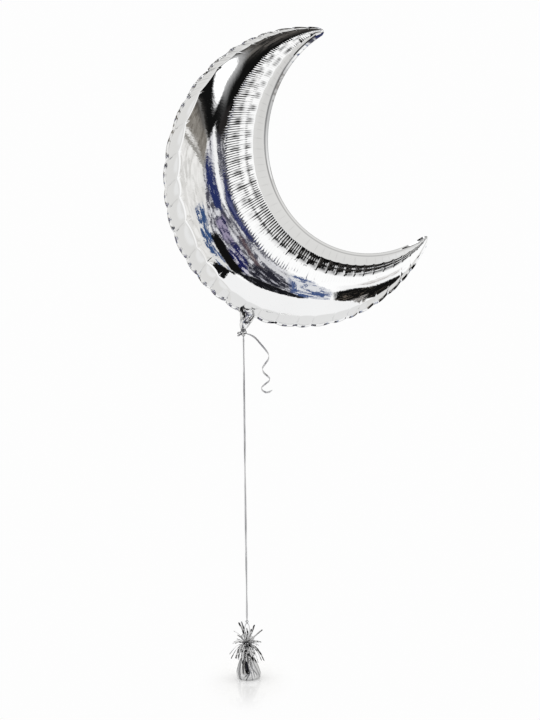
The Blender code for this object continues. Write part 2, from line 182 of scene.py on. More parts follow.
studio = {
    "backdrop": 0.985,
    "surround": (1.10, 1.10, 1.095),
    "wobble": 1.0,              # degrees that the edges of the cards wander
    # round the line of sight: from, to, softness in degrees, colour, and whether only on the left
    "rings": ((80, 90, 4, 1.0, True), (91, 165, 5, (0.775, 0.77, 0.755), False),
              (111, 121, 7, (0.87, 0.87, 0.865), True)),
    # convex shapes: corners anticlockwise, softness in degrees and colour; a patchy one also has the other
    # colour, the grain of the patches in degrees, and between which values of the noise they blend
    "cards": (
        # left wall, with an arch and its shadow line
        (((-75, -40), (-44, -32), (-22, -2), (-12, 14), (-16, 22), (-66, 46)),
         5, (0.93, 0.92, 0.9), (0.6, 0.59, 0.565), 13, (0.42, 0.75)),
        # dark ceiling and its grey part
        (((-12, 22), (6, 21.5), (30, 27), (50, 44), (52, 64), (44, 80), (20, 88), (-22, 86), (-42, 79),
           (-56, 56)), 3, 0.006),
        (((1, 20), (9, 19), (11, 27), (0, 27)), 2, (0.02, 0.018, 0.018)),
        (((45, 35), (60, 38), (70, 54), (54, 62), (44, 50)), 3, 0.01),
        (((-24, 50), (10, 42), (28, 40), (32, 62), (0, 82), (-20, 80), (-30, 66)),
         14, (0.125, 0.115, 0.105), 0.015, 9, (0.38, 0.6)),
        (((-63, 41), (-13, 16), (-13, 23), (-56, 55)),
         2.5, (0.16, 0.145, 0.125), (0.34, 0.32, 0.29), 7, (0.35, 0.65)),
        (((-57, 57), (-56, 51), (-20, 26), (-13, 24), (-20, 31)), 6, (0.075, 0.07, 0.065)),
        (((-64, 35), (-14, 15.5), (-14, 17), (-64, 38)), 0.8, (0.33, 0.32, 0.3)),
        # lamp with its glow
        (((-10, 36), (0, 30), (0, 46), (-8, 60), (-22, 72), (-36, 78), (-36, 66), (-21, 47)), 11, 0.42),
        (((-9.5, 31), (-6, 35), (-7, 44), (-12, 54), (-20, 64), (-33, 72), (-40, 67), (-31, 51.5),
           (-20.5, 39.5)), 4, 1.35),
        # room behind the camera
        (((-16, -30), (12, -30), (14, 0), (12, 20), (-8, 24), (-15, 18), (-26, 0)),
         3, (0.07, 0.07, 0.095), (0.75, 0.75, 0.78), 7, (0.46, 0.57)),
        (((-45, -19), (-36, -35), (-28, -28), (-26, -10), (-27, 5), (-42, 1)),
         3, (0.04, 0.085, 0.21), (0.78, 0.78, 0.77), 10, (0.53, 0.57)),
        (((-28, -8), (-27, -26), (-22, -28), (-12, -20), (-14, -10), (-19, -4)), 2, 0.006),
        (((-15, 13), (-11, 6), (-4, 8), (-3, 14), (-6, 18), (-11, 19)),
         2, (0.022, 0.032, 0.12), (0.5, 0.52, 0.58), 6, (0.6, 0.68)),
        (((2, 12), (6, 6), (10, 8), (10, 13), (9, 16), (4, 18)),
         2, (0.025, 0.032, 0.11), (0.1, 0.11, 0.22), 4, (0.5, 0.6)),
        (((0, 9), (4, 1), (9, -4), (13, -3), (9, 3), (5, 8), (1, 13)),
         1.5, (0.12, 0.12, 0.16), (0.72, 0.72, 0.74), 5, (0.42, 0.52)),
        (((-2.4, 11), (0.5, 9), (1, 13), (-1, 21), (-4, 26), (-6.4, 25)), 1.5, 1.0),
        (((-16, 1), (-15, -6), (-7, -2), (-4, 5), (-6, 6)),
         2, (0.34, 0.3, 0.42), (0.02, 0.02, 0.07), 6, (0.47, 0.53)),
        (((-17, -10), (-13, -24), (-7, -14), (-4, -5), (-6, -1)),
         2, (0.014, 0.016, 0.09), (0.6, 0.58, 0.66), 6, (0.56, 0.6)),
        (((-1, 3), (0, -10), (4, -7), (3, 0), (2, 4)),
         1.5, (0.09, 0.06, 0.075), (0.34, 0.31, 0.3), 4, (0.5, 0.6)),
        (((-24, -25), (-7, -34), (11, -36), (14, -26), (4, -21), (-9, -21)),
         2, (0.008, 0.008, 0.01), (0.16, 0.16, 0.18), 5, (0.58, 0.7)),
        (((-9, -21), (4, -21), (12, -12), (8, -4), (0, -8), (-8, -14)),
         2, (0.02, 0.02, 0.03), (0.5, 0.5, 0.55), 5, (0.55, 0.63)),
        (((8, -23), (14, -29), (22, -29), (24, -9), (19, 0), (14, 1)),
         2.5, (0.06, 0.1, 0.24), (0.8, 0.81, 0.83), 9, (0.53, 0.58)),
        # dark furniture low on both sides, with a white strip and a brownish patch
        (((25, -31), (34, -41), (61, -64), (77, -64), (81, -42), (29, -7), (25, -11)),
         3, 0.006, (0.13, 0.11, 0.09), 7, (0.58, 0.7)),
        (((35, -38), (46, -66), (53, -66), (43, -35)), 2.5, (0.42, 0.4, 0.38), 0.04, 6, (0.45, 0.55)),
        (((34, -11), (51, -13), (47, -2), (36, 2), (29, -2)),
         4, (0.44, 0.41, 0.39), (0.9, 0.89, 0.88), 7, (0.4, 0.6)),
        (((26, -7), (66, -24), (60, -17), (26, -1)), 1.5, 1.0),
        (((-58, -41), (-47, -56), (-23, -27), (-43, -29)), 2, 0.006),
        # two grey panels that dapple the pleats
        (((30, 22), (36, 22), (36, 34), (30, 34)), 4, 0.12),
        (((49, 22), (56, 22), (56, 34), (49, 34)), 4, 0.25),
    ),
}


def paintCard(tree, chart, under, corners, soft, colour, other=None, grain=1, mix=(0, 1)):
    mask = None
    for (ax, ay), (bx, by) in zip(corners, corners[1:] + corners[:1]):
        length = sqrt((bx - ax) ** 2 + (by - ay) ** 2)
        inward = (-(by - ay) / length, (bx - ax) / length, 0)
        edge = ax * inward[0] + ay * inward[1]
        past = calcVector(tree, "DOT_PRODUCT", chart, inward)
        side = remap(tree, past, edge - soft / 2, edge + soft / 2, 0, 1, True)
        mask = side if mask is None else calc(tree, "MULTIPLY", mask, side)
    if other is not None:
        patches = noiseOf(tree, chart, 1 / grain, 2.0, 0.6, 1.5)
        colour = mixColours(tree, remap(tree, patches, *mix, 0, 1), colour, other)
    return mixColours(tree, mask, under, colour)


def buildStudio(look):
    world = bpy.data.worlds.new("studio")
    scene.world = world
    world.use_nodes = True
    tree = world.node_tree
    tree.nodes.clear()

    def times(a, b):
        return calc(tree, "MULTIPLY", a, b)

    heading = addNode(tree, "TexCoord").outputs["Generated"]
    x, y, z = addNode(tree, "SeparateXYZ", {0: heading}).outputs
    polar = calc(tree, "ARCCOSINE", times(y, -1.0))
    flat = calc(tree, "SQRT", calc(tree, "ADD", times(x, x), times(z, z)))
    degrees = times(polar, 180 / pi)
    stretch = calc(tree, "DIVIDE", degrees, calc(tree, "MAXIMUM", flat, 0.0001))
    plain = addNode(tree, "CombineXYZ", {0: times(x, stretch), 1: times(z, stretch)}).outputs[0]
    drift = addNode(tree, "TexNoise", {"Vector": plain, "Scale": 0.07, "Detail": 2.0}).outputs["Color"]
    drift = calcVector(tree, "ADD", drift, (-0.5, -0.5, -0.5))
    wander = addNode(tree, "VectorMath", {0: drift, "Scale": look["wobble"] * 2}, operation="SCALE")
    chart = calcVector(tree, "ADD", plain, wander.outputs[0])
    colour = look["surround"]
    for near, far, soft, shade, leftOnly in look["rings"]:
        inside = times(remap(tree, degrees, near - soft / 2, near + soft / 2, 0, 1, True),
                       remap(tree, degrees, far + soft / 2, far - soft / 2, 0, 1, True))
        if leftOnly:
            inside = times(inside, remap(tree, x, 0.1, -0.1, 0, 1, True))
        colour = mixColours(tree, inside, colour, shade)
    for card in look["cards"]:
        colour = paintCard(tree, chart, colour, *card)
    seen = addNode(tree, "LightPath").outputs["Is Camera Ray"]
    colour = mixColours(tree, seen, colour, look["backdrop"])
    background = addNode(tree, "Background", {"Color": colour, "Strength": 1.0})
    tree.links.new(background.outputs[0], addNode(tree, "OutputWorld").inputs["Surface"])


floorLook = {
    "level": -1.2013, "left": -1.05, "right": 1.0, "front": -1.65, "back": 3.0,
    "colour": 0.70, "glow": 0.19, "roughness": 0.008, "ior": 1.6,
    # away from the weight, along an oval, the floor burns out to white
    "burnt": (0.08, 0.28), "oval": (2.2, 1, 0), "white": 0.985,
    "behind": (-0.15, 0.08), "shade": (0.82, 0.82, 0.815),      # how the foil sees the floor behind the moon: darker, as painted shade
}


def buildFloor(look):
    bm = bmesh.new()
    bmesh.ops.create_grid(bm, x_segments=1, y_segments=1, size=0.5)
    width, depth = look["right"] - look["left"], look["back"] - look["front"]
    bmesh.ops.scale(bm, verts=bm.verts, vec=(width, depth, 1))
    bmesh.ops.translate(bm, verts=bm.verts, vec=((look["left"] + look["right"]) / 2,
                                                 (look["front"] + look["back"]) / 2, look["level"]))
    mesh = bpy.data.meshes.new("studioFloor")
    bm.to_mesh(mesh)
    bm.free()
    material, tree, shader = newMaterial("white sweep")
    for name, value in (("Base Color", rgba(look["colour"])), ("Emission Color", rgba(look["glow"])),
                        ("Emission Strength", 1.0), ("Roughness", look["roughness"]), ("IOR", look["ior"])):
        shader.inputs[name].default_value = value
    coords = addNode(tree, "TexCoord").outputs["Object"]
    away = calcVector(tree, "LENGTH", calcVector(tree, "MULTIPLY", coords, look["oval"]))
    behind = remap(tree, addNode(tree, "SeparateXYZ", {0: coords}).outputs["Y"], *look["behind"], 0, 1, True)
    seen = addNode(tree, "LightPath").outputs["Is Camera Ray"]
    colour = mixColours(tree, seen, mixColours(tree, behind, look["white"], look["shade"]), look["white"])
    plain = addNode(tree, "Emission", {"Color": colour, "Strength": 1.0})
    blend = addNode(tree, "MixShader", {0: remap(tree, away, *look["burnt"], 0, 1, True),
                                        1: shader.outputs[0], 2: plain.outputs[0]})
    tree.links.new(blend.outputs[0], tree.nodes["Material Output"].inputs["Surface"])
    mesh.materials.append(material)
    floor = bpy.data.objects.new("studioFloor", mesh)
    scene.collection.objects.link(floor)


skylight = {"strength": 1.8, "spread": 60}           # soft light from above, unseen in the foil


def addSkylight(look):
    lamp = bpy.data.objects.new("skylight", bpy.data.lights.new("skylight", "SUN"))
    scene.collection.objects.link(lamp)
    lamp.data.energy = look["strength"]
    lamp.data.angle = radians(look["spread"])
    lamp.visible_glossy = False
    lamp.visible_camera = False


buildStudio(studio)
buildFloor(floorLook)
addSkylight(skylight)
print("studio set")


# Envelope: two foil sheets, welded round the edge

envelope = {
    "outerCentre": (154 * mm, 48 * mm), "outerRadius": 363 * mm, "outerOval": 13.4 * mm,
    "innerCentre": (325 * mm, 146 * mm), "innerRadius": 273.7 * mm, "innerOval": 16.7 * mm,
    "ovalTilt": radians(-6.3),
    "outerSpan": (radians(81.9), radians(333.0)), "innerSpan": (radians(113.1), radians(298.6)),
    "flangeOutside": 5 * mm, "flangeInside": 8 * mm, "flangeThick": 0.8 * mm, "gap": 0.3 * mm,
    "depthPerWidth": 0.35, "domePower": 2.2, "nose": 0.012,
    # creases between the puckers, as shares of the limb from its upper to its lower tip
    "creases": (0, 0.027, 0.049, 0.076, 0.104, 0.130, 0.159, 0.200, 0.253, 0.310, 0.362, 0.407,
                0.440, 0.481, 0.528, 0.558, 0.587, 0.617, 0.647, 0.673, 0.702, 0.734, 0.757,
                0.789, 0.813, 0.832, 0.860, 0.886, 0.915, 0.938, 0.960, 1),
    "scallop": 4 * mm,          # how far the edge steps in at a crease
    "bandRows": 12, "domeRows": 20, "pleatRows": 30, "rimRows": 7,
    "fadeWidth": 90 * mm,       # a limb narrower than this is puckered less
    "pillow": 4.5 * mm, "creaseDip": 3.2 * mm, "creaseDepth": 1.6 * mm, "creaseReach": 6 * mm,
    "pleatPitch": 0.0055, "stepsPerPleat": 6, "pleatHeight": 1.9 * mm,
    "puffHeight": 2.2 * mm, "rowPitch": 0.285, "rowHeight": 0.9 * mm,
    "rimCreases": 46, "rimCreaseDepth": 0.5 * mm, "ribHeight": 0.22 * mm,
    "swell": 0.5 * mm,          # slow unevenness of the smooth dome
    # by share of the limb: where the puckered band ends and the pleats start and end, as shares across
    "bandEnd": ((0, 0.07, 0.137, 0.2, 0.27, 0.335, 0.4, 0.5, 0.553, 0.586, 0.61, 0.665, 0.73, 0.8, 0.837,
                 0.9, 1),
                (0.28, 0.26, 0.233, 0.18, 0.17, 0.16, 0.15, 0.15, 0.14, 0.13, 0.108, 0.093, 0.105, 0.11,
                 0.13, 0.15, 0.2)),
    "pleatStart": ((0.3, 0.35, 0.43, 0.58, 0.6, 0.73), (0.617, 0.605, 0.6, 0.59, 0.56, 0.54)),
    "pleatEnd": ((0.2, 0.27, 0.4, 0.5, 0.6, 0.66, 0.73, 0.8, 0.87, 0.93),
                 (0.917, 0.9, 0.884, 0.87, 0.861, 0.852, 0.839, 0.824, 0.805, 0.786)),
    # by share of the limb: how strong the fine pleats start, how far they reach, and how strong they end
    "onset": ((0.12, 0.2, 0.27, 0.55, 0.62, 0.75, 1), (0.2, 0.45, 0.8, 0.8, 0.25, 0.2, 0.2)),
    "onsetReach": ((0.2, 0.44, 0.5), (0.14, 0.10, 0.06)),
    "ticks": ((0.48, 0.54, 0.68, 0.73), (0.05, 0.6, 0.6, 0.05)),
    "ground": ((0.1, 0.2, 0.34, 0.42, 0.55), (0.16, 0.34, 0.3, 0.2, 0.12)),        # in between
    # puffs side by side: how strong, from where across the pleats, how many up to here; then rows of them
    "puffs": ((0, 0.2, 0.34, 0.48, 0.52, 0.62, 0.68), (0.5, 0.35, 0.22, 0.2, 0.12, 0.15, 0.55)),
    "puffFrom": ((0.34, 0.5, 0.6, 0.7, 0.8, 0.9), (0.1, 0.15, 0.38, 0.42, 0.3, 0.12)),
    "puffCount": ((0, 0.27, 0.56, 1), (0, 7.4, 16.65, 36.8)),
    "rows": ((0, 0.2, 0.3, 0.55, 0.66), (0.5, 0.2, 0.08, 0.08, 0.8)),
    "rowStart": ((0, 0.2, 0.34, 0.5, 0.62), (0.4, 0.38, 0.28, 0.28, 0.45)),
    # painted dark reflections on each cell between the puffs, in two rows on the upper half and in one on
    # the lower horn
    "cellShade": ((0, 0.1, 0.2, 0.3, 0.5, 0.58), (0.6, 0.85, 0.85, 0.95, 0.95, 0)),
    "cellFrom": ((0.15, 0.24), (0.05, 0.3)),
    "hatch": ((0.12, 0.24), (0.2, 0.65)),         # how far fine painted strokes make up that painted shade
    # painted dark reflections as bars between the puffs on the lower half
    "ladderShade": ((0.55, 0.64, 0.7, 0.97, 1), (0, 0.5, 0.8, 0.85, 0.3)),
    "streaksAndPaintedShade": ((0.02, 0.2, 0.27), (0.7, 0.6, 0)),                     # painted dark reflections as lines across the puckers
    # the inner band: how flat it lies; painted shade on it, on the welds beside it, on the flanges' creases
    # and along the outer edge
    "rimFlat": ((0, 0.2, 0.5, 0.7), (0.3, 0.3, 0.4, 0.75)),
    "rimShade": ((0.1, 0.3, 0.55), (0.13, 0.07, 0)),
    "weldShade": ((0.05, 0.15, 0.5, 0.6), (0.3, 0.75, 0.7, 0.45)),
    "flangeShade": ((0.08, 0.16, 0.3, 0.4, 0.52), (0, 0.4, 0.5, 0.3, 0)),
    "edgeShade": ((0.1, 0.2, 0.7, 0.9), (0.3, 0.8, 0.8, 0.4)),
    # mm that the inner flange is bent back, and that the outer one flutters
    "flexIn": ((0.12, 0.2, 0.42, 0.5, 0.9, 1), (1.6, 3.2, 3.6, 9, 9, 5)), "wavesIn": 0.25,
    "flutter": ((0.1, 0.15, 0.6, 0.7, 0.8, 0.86), (1.7, 2.3, 2.3, 1.3, 0.9, 0.3)), "bend": 1.4,
}


def edgePoint(name, share, e):
    centre, span = e[name + "Centre"], e[name + "Span"]
    angle = span[0] + (span[1] - span[0]) * share
    reach = e[name + "Radius"] - e[name + "Oval"] * np.cos(2 * (angle - e["ovalTilt"]))
    return np.stack([centre[0] + reach * np.cos(angle), centre[1] + reach * np.sin(angle)], -1)


def smoothStep(low, high, value):
    share = np.clip((value - low) / (high - low), 0, 1)
    return share * share * (3 - 2 * share)


def ripples(u, v, waves, seed):
    # seeded sum of plane waves, about -1 to 1
    rng = np.random.default_rng(seed)
    total = np.zeros_like(u)
    for wave in waves:
        heading = rng.uniform(0, 2 * pi)
        total += np.sin(2 * pi * wave * (u * cos(heading) + v * sin(heading)) + rng.uniform(0, 2 * pi))
    return total / len(waves)


def flutter(u, waves, seed):
    rng = np.random.default_rng(seed)
    return sum(np.sin(2 * pi * wave * u + rng.uniform(0, 2 * pi)) for wave in waves) / len(waves)


def limbColumns(e):
    # every pucker gets a whole number of pleats, so that creases fall on columns
    columns, count, perPleat = [], 0, e["stepsPerPleat"]
    for i, (start, end) in enumerate(zip(e["creases"], e["creases"][1:])):
        pleats = max(2, round((end - start) / e["pleatPitch"]))
        steps = pleats * perPleat
        columns += [(start + (end - start) * j / steps, j / steps, i, j % perPleat / perPleat,
                     count + j // perPleat) for j in range(steps)]
        count += pleats
    share, inLobe, lobe, inPleat, pleat = np.array(columns + [(1, 0, i, 0, count - 1)]).T
    return share, inLobe, lobe.astype(int), inPleat, pleat.astype(int)


def limbEdges(share, e):
    outer, inner = edgePoint("outer", share, e), edgePoint("inner", share, e)
    fromTip = np.minimum(share, 1 - share)
    nose = np.sqrt(np.maximum(1 - (1 - np.minimum(fromTip / e["nose"], 1)) ** 2, 0.004))[..., None]
    middle = (outer + inner) / 2
    return middle + (outer - middle) * nose, middle + (inner - middle) * nose


def sheetRows(e):
    # row kinds from the outer edge over the dome to the inner edge and back under it
    rows = [("edge", 1.0), ("flange", 1.0), ("flange", 0.67), ("flange", 0.33)]
    rows += [("band", i / e["bandRows"]) for i in range(e["bandRows"])]
    rows += [("dome", i / e["domeRows"]) for i in range(e["domeRows"])]
    rows += [("pleat", i / e["pleatRows"]) for i in range(e["pleatRows"])]
    rows += [("rim", i / e["rimRows"]) for i in range(e["rimRows"] + 1)]
    rows += [("flangeIn", 0.33), ("flangeIn", 0.67), ("flangeIn", 1.0), ("edgeIn", 1.0), ("under", 0.5)]
    return rows


def shapeSheet(e, side):
    # the place and the painted fold shade of every vertex of one sheet, as arrays by column and row
    share, inLobe, lobe, inPleat, pleat = limbColumns(e)

    def by(name):
        return np.interp(share, *e[name])

    def level(value):
        return np.full_like(share, value)

    outer, inner = limbEdges(share, e)
    width = np.linalg.norm(outer - inner, axis=-1)
    along = (inner - outer) / width[:, None]
    fade = np.minimum(1, width / e["fadeWidth"])
    fromMiddle = np.abs(2 * inLobe - 1)                 # 0 in a pucker's middle, 1 at a crease
    flangeOut, flangeIn = (along * np.minimum(e[name], width * 0.2)[:, None]
                           for name in ("flangeOutside", "flangeInside"))
    edge = outer + along * (e["scallop"] * fromMiddle ** 2 * fade)[:, None]
    seam, smoothSeam, seamIn = edge + flangeOut, outer + flangeOut, inner - flangeIn
    seamWidth = np.linalg.norm(seamIn - smoothSeam, axis=-1)
    low, high = e["gap"] / 2, e["gap"] / 2 + e["flangeThick"]
    half = e["depthPerWidth"] * width

    # the flange is one strip, so its waves are the same on both sheets
    waves = by("flutter") * mm * flutter(share, (49, 58, 66, 77), 6) * 1.5
    wavesIn = e["wavesIn"] * mm * flutter(share, (22, 31, 46), 9)
    rng = np.random.default_rng(11 if side < 0 else 12)
    lobeSize = rng.uniform(0.85, 1.15, 40)[lobe]
    pleatSize = rng.uniform(0.5, 1.2, 400)[pleat]
    pleatShift = rng.uniform(0, 0.07, 400)[pleat]
    fromPleat = np.abs(2 * inPleat - 1)                 # 0 on a pleat's crown, 1 between two
    pleatCrown = 0.5 - fromPleat ** 2
    puffPlace = by("puffCount") + 0.14 * np.sin(2 * pi * share * 5.3 + side)
    fromPuff = np.abs(2 * (puffPlace % 1) - 1)          # 0 in a puff's middle, 1 between two
    rimPlace = share * e["rimCreases"] + 0.3 * np.sin(2 * pi * share * 7 + side)
    rimCrease = np.abs(2 * (rimPlace % 1) - 1) ** 14
    # painted dark reflections across the puckered band
    paintedStreak = np.maximum(flutter(share, (118, 161, 207), 51), 0) * 1.6
    bandShare = by("bandEnd") * (1.06 - 0.21 * fromMiddle ** 2.2) * (0.95 + 0.06 * lobeSize)
    bandEnd = smoothSeam + (seamIn - smoothSeam) * bandShare[:, None]

    def domeOf(q):
        return half * np.maximum(1 - np.abs(2 * q - 1) ** e["domePower"], 0) ** (1 / e["domePower"])

    places, folds = [], []
    for kind, step in sheetRows(e):
        flex, fold = level(0), level(0)
        if kind in ("edge", "flange"):
            where = seam + (edge - seam) * step
            depth = level(low if kind == "edge" else high)
            flex = (e["bend"] * mm * step + waves * step ** 1.3) * fade
            # painted shade: a thin dark line along the outer edge, strongest in each pucker's middle
            fold = by("edgeShade") * (1 - fromMiddle ** 5) * (step > 0.99)
        elif kind in ("flangeIn", "edgeIn"):
            where = seamIn + (inner - seamIn) * step
            depth = level(low if kind == "edgeIn" else high)
            flex = (by("flexIn") * mm + wavesIn) * step * fade
            # painted shade on the inner flange's creases, and a painted dark line at the weld
            fold = np.where(step > 0.9, by("weldShade") * 0.9, by("flangeShade"))
        elif kind == "under":
            where = (smoothSeam + seamIn) / 2
            depth = level(low)
        elif kind == "band":
            where = seam + (bandEnd - seam) * step
            puffed = e["pillow"] * lobeSize * (1 - fromMiddle ** 2.4) * sin(pi * step)
            dip = e["creaseDip"] * fromMiddle ** 11 * sin(pi * step ** 0.8)
            ribs = e["ribHeight"] * flutter(share, (290, 340, 377), 41) * smoothStep(0.40, 0.46, share) \
                * smoothStep(0.62, 0.58, share)
            depth = high + domeOf(bandShare) * step ** 0.92 + (puffed - dip + ribs * sin(pi * step)) * fade
            # painted shade at the creases between the puckers, and painted dark reflections across them
            fold = 0.2 * fromMiddle ** 24 + by("streaksAndPaintedShade") * paintedStreak * (1 - 0.6 * step)
        else:
            start, end = {"dome": (bandShare, by("pleatStart")), "pleat": (by("pleatStart"), by("pleatEnd")),
                          "rim": (by("pleatEnd"), 1)}[kind]
            q = start + (end - start) * (step if kind != "rim" else step ** 0.8)
            where = smoothSeam + (seamIn - smoothSeam) * q[:, None]
            pastBand = np.maximum((q - bandShare) * seamWidth, 0)
            crease = e["creaseDepth"] * fromMiddle ** 16 * np.exp(-pastBand / e["creaseReach"]) \
                * np.minimum(pastBand / (2 * mm), 1)
            slow = ripples(where[:, 0] / 0.16, where[:, 1] / 0.16, (0.7, 1.0, 1.3, 1.9), 21 + side)
            height = domeOf(q) + fade * (e["swell"] * slow * np.minimum(pastBand / (30 * mm), 1) - crease)
            if kind == "rim":
                flat = domeOf(by("pleatEnd")) * (1 - step ** 0.8)
                dents = e["swell"] * slow * (1 - step) ** 2 \
                    - e["rimCreaseDepth"] * rimCrease * sin(pi * step)
                flatness = by("rimFlat") * smoothStep(1, 0.85, step)
                height = domeOf(q) + (flat - domeOf(q)) * flatness + fade * dents
                # painted shade in the rim's creases, over the band towards the upper tip, and at the weld
                fold = 0.2 * rimCrease * sin(pi * min(1, step * 1.2)) \
                    + by("rimShade") * smoothStep(0, 0.3, step) + by("weldShade") * (step > 0.99)
            if kind == "pleat":
                began = smoothStep(0, 0.045, step - pleatShift)
                ended = smoothStep(1, 0.94, step)
                fine = by("ground") + by("onset") * np.exp(-(step / by("onsetReach")) ** 2) \
                    + by("ticks") * smoothStep(0.62, 0.8, step)
                uneven = 0.8 + 0.4 * ripples(share * 60, level(step * 2), (0.5, 0.9, 1.4), 33)
                fine = fine * pleatSize * began * ended * uneven
                inside = smoothStep(0, 0.18, step - by("puffFrom")) * ended
                puff = by("puffs") * inside
                rowPlace = (step - by("rowStart")) / e["rowPitch"]
                fromCell = np.abs(2 * (rowPlace % 1) - 1)
                cell = by("rows") * smoothStep(-0.05, 0.15, rowPlace) * ended
                height = height + fade * (e["pleatHeight"] * fine * pleatCrown
                                          + e["puffHeight"] * puff * (0.4 - fromPuff ** 3)
                                          + e["rowHeight"] * cell * (0.35 - fromCell ** 3))
                # painted shade in the pleats' troughs and the puffs' creases, and painted dark reflections
                # in rows of cells and bars
                column = 0.5 + 0.5 * np.cos(2 * pi * (step - 0.37) / 0.43)
                nearGap = 0.5 + 0.5 * np.cos(2 * pi * puffPlace)
                paintedSpots = smoothStep(by("cellFrom"), by("cellFrom") + 0.45, nearGap) * column ** 1.3 \
                    * (1 - by("hatch") * smoothStep(0.75, 0.15, fromPleat))
                fromRow = np.abs(2 * (step - by("puffFrom") - 0.12) / (0.9 - by("puffFrom")) - 1)
                middle = (1 - fromPuff ** 2) * smoothStep(0.75, 0.35, fromRow)
                paintedRungs = (1 - fromPuff ** 8) * (1 - 0.55 * middle)
                uneven = 0.75 + 0.5 * ripples(share * 60, level(step * 2), (0.4, 0.7, 1.1), 37)
                fold = 0.6 * fine * fromPleat ** 4 + 0.2 * puff * fromPuff ** 14 \
                    + (by("cellShade") * paintedSpots + by("ladderShade") * paintedRungs * inside) * uneven
            depth = high + np.maximum(height, 0)
        places.append(np.stack([where[:, 0], side * depth + flex, where[:, 1]], -1))
        folds.append(np.clip(fold * fade, 0, 1))
    return np.stack(places, 1), np.stack(folds, 1)


def closeSkin(bm, near):
    bmesh.ops.remove_doubles(bm, verts=bm.verts, dist=near)
    bmesh.ops.holes_fill(bm, edges=[edge for edge in bm.edges if edge.is_boundary], sides=0)
    bmesh.ops.recalc_face_normals(bm, faces=bm.faces)


def foilSheet(name, node, side, material, e):
    places, folds = shapeSheet(e, side)
    columns, rows = places.shape[:2]
    bm = bmesh.new()
    bmesh.ops.create_grid(bm, x_segments=columns - 1, y_segments=rows, size=1)
    # painted shade, one value a vertex, read by the foil material
    shade = bm.verts.layers.float.new("fold")
    for vert in bm.verts:
        column = round((vert.co.x + 1) / 2 * (columns - 1))
        row = round((vert.co.y + 1) / 2 * rows) % rows  # the last row closes on the first
        vert.co = places[column, row]
        vert[shade] = folds[column, row]
    closeSkin(bm, 0.001 * mm)
    finishPiece(name, bm, material, "balloon", node, sharp=55)


# fold in each foil's look is the colour of its painted shade
balloonFoil = foilMaterial("balloon foil", {
    "dark": (0.86, 0.865, 0.87), "light": 0.93, "fold": (0.04, 0.04, 0.042), "clouds": 7,
    "scuffs": (26, 0.012, 0.05), "crinkle": (160, 0.1, 0.6 * mm),
})
foilSheet("foilFront", "foil_front", -1, balloonFoil, envelope)
foilSheet("foilBack", "foil_back", 1, balloonFoil, envelope)
print("envelope made")


# Shapes that bend: a grid rolled into a tube, and a flat strip laid along a route

def pour(part, bm):
    mesh = bpy.data.meshes.new("part")
    part.to_mesh(mesh)
    part.free()
    bm.from_mesh(mesh)
    bpy.data.meshes.remove(mesh)


def rolledTube(around, rows, placeOf, shadeOf=None):
    # placeOf(turn 0 to 1, level 0 to 1) gives each vertex and shadeOf how much painted shade its fold gets
    bm = bmesh.new()
    bmesh.ops.create_grid(bm, x_segments=around, y_segments=rows, size=1)
    uvs = bm.loops.layers.uv.new("UVMap")
    for face in bm.faces:
        for loop in face.loops:
            loop[uvs].uv = (loop.vert.co.x / 2 + 0.5, loop.vert.co.y / 2 + 0.5)
    fold = bm.verts.layers.float.new("fold")
    for vert in bm.verts:
        turn, level = round((vert.co.x + 1) / 2 * around) % around / around, (vert.co.y + 1) / 2
        vert.co = placeOf(turn, level)
        vert[fold] = shadeOf(turn, level) if shadeOf else 0
    closeSkin(bm, 0.002 * mm)
    return bm


def aheadAt(route, i):
    return (route[min(i + 1, len(route) - 1)] - route[max(i - 1, 0)]).normalized()


def lengthsAlong(route):
    lengths = [0.0]
    for a, b in zip(route, route[1:]):
        lengths.append(lengths[-1] + (b - a).length)
    return lengths


def stripAlong(bm, route, sides, widths, thick, cup=0.0, across=4, shades=None):
    # a flat ribbon: the route is its middle line, sides point to its edges
    patch = bmesh.new()
    bmesh.ops.create_grid(patch, x_segments=len(route) - 1, y_segments=across, size=1)
    uvs = patch.loops.layers.uv.new("UVMap")
    lengths = lengthsAlong(route)
    for face in patch.faces:
        for loop in face.loops:
            i = round((loop.vert.co.x + 1) / 2 * (len(route) - 1))
            loop[uvs].uv = (lengths[i], loop.vert.co.y)
    # the fold layer carries the painted shade given in shades
    fold = patch.verts.layers.float.new("fold")
    for vert in patch.verts:
        i = round((vert.co.x + 1) / 2 * (len(route) - 1))
        vert[fold] = shades[i] if shades else 0
        v = vert.co.y
        out = aheadAt(route, i).cross(sides[i]).normalized()
        vert.co = route[i] + sides[i] * widths[i] / 2 * v + out * (cup * widths[i] * (1 - v * v) - thick / 2)
    bmesh.ops.remove_doubles(patch, verts=patch.verts, dist=0.002 * mm)
    bmesh.ops.solidify(patch, geom=patch.faces[:], thickness=thick)
    bmesh.ops.recalc_face_normals(patch, faces=patch.faces)
    pour(patch, bm)


def smoothRoute(points, count):
    # even points on a Catmull-Rom curve through the route
    dense = []
    for i in range(len(points) - 1):
        before, a, b, after = (points[min(max(j, 0), len(points) - 1)] for j in range(i - 1, i + 3))
        for step in range(20):
            t = step / 20
            dense.append(0.5 * ((2 * a) + (b - before) * t
                                + (2 * before - 5 * a + 4 * b - after) * t ** 2
                                + (3 * a - before - 3 * b + after) * t ** 3))
    dense.append(points[-1])
    lengths = lengthsAlong(dense)
    even, at = [], 0
    for i in range(count):
        wanted = lengths[-1] * i / (count - 1)
        while at < len(lengths) - 2 and lengths[at + 1] < wanted:
            at += 1
        share = (wanted - lengths[at]) / (lengths[at + 1] - lengths[at])
        even.append(dense[at].lerp(dense[at + 1], min(share, 1)))
    return even, lengths[-1]


